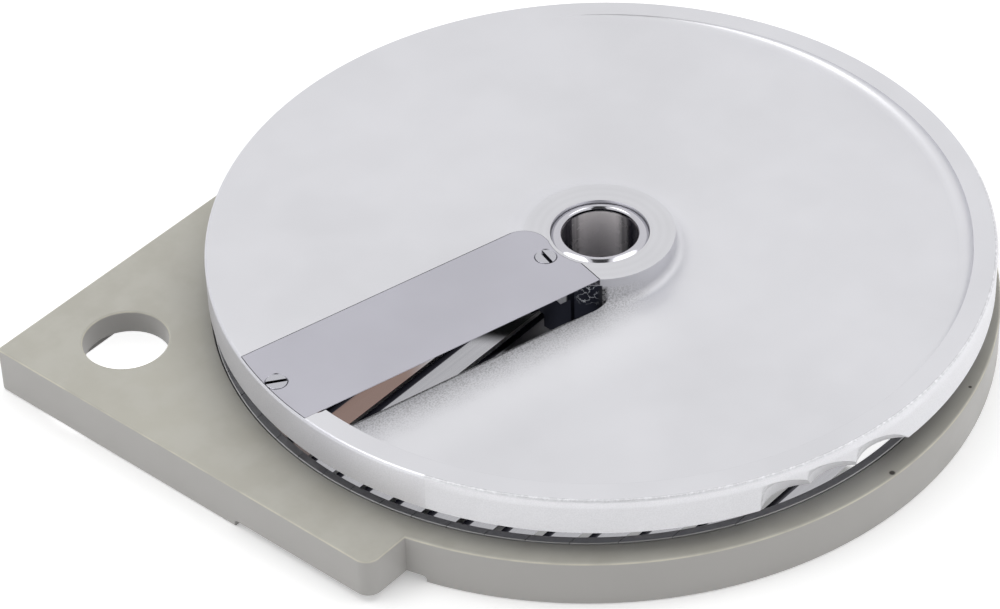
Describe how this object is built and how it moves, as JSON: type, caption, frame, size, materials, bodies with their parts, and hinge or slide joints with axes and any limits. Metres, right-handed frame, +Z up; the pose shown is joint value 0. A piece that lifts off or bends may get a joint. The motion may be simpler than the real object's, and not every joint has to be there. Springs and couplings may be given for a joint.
{
  "type": "french fry cutting disc",
  "caption": "Slicing disc with a helical ramp, flat screwed-on blade and hub, resting on a round knife grid with a finger-hole tab: cuts potatoes into fries.",
  "frame": {"origin": "centre of the bounding box at the grid plate's underside", "axes": "+Z up along the disc's axis, +X along the knives and away from the tab, +Y towards the side of the tab with the finger hole"},
  "size_m": [0.2232, 0.2132, 0.0303],
  "materials": {
    "plastic": "satin, beige-grey",
    "ring_steel": "dull",
    "knife_steel": "ground",
    "aluminium": "turned, satin",
    "bush_steel": "polished",
    "blade_steel": "ground, satin"
  },
  "bodies": {
    "root": {"grid_plate": "plastic", "knife_ring": "ring_steel", "slicing_disc": "aluminium", "hub_bush": "bush_steel", "slicing_blade": "blade_steel", "blade_screw_outer": "blade_steel", "blade_screw_inner": "blade_steel", "knife_01": "knife_steel", "knife_02": "knife_steel", "knife_03": "knife_steel", "knife_04": "knife_steel", "knife_05": "knife_steel", "knife_06": "knife_steel", "knife_07": "knife_steel", "knife_08": "knife_steel", "knife_09": "knife_steel", "knife_10": "knife_steel", "knife_11": "knife_steel", "knife_12": "knife_steel", "knife_13": "knife_steel", "knife_14": "knife_steel", "knife_15": "knife_steel", "knife_16": "knife_steel", "knife_17": "knife_steel", "knife_18": "knife_steel", "knife_19": "knife_steel", "knife_20": "knife_steel"}
  },
  "joints": []
}
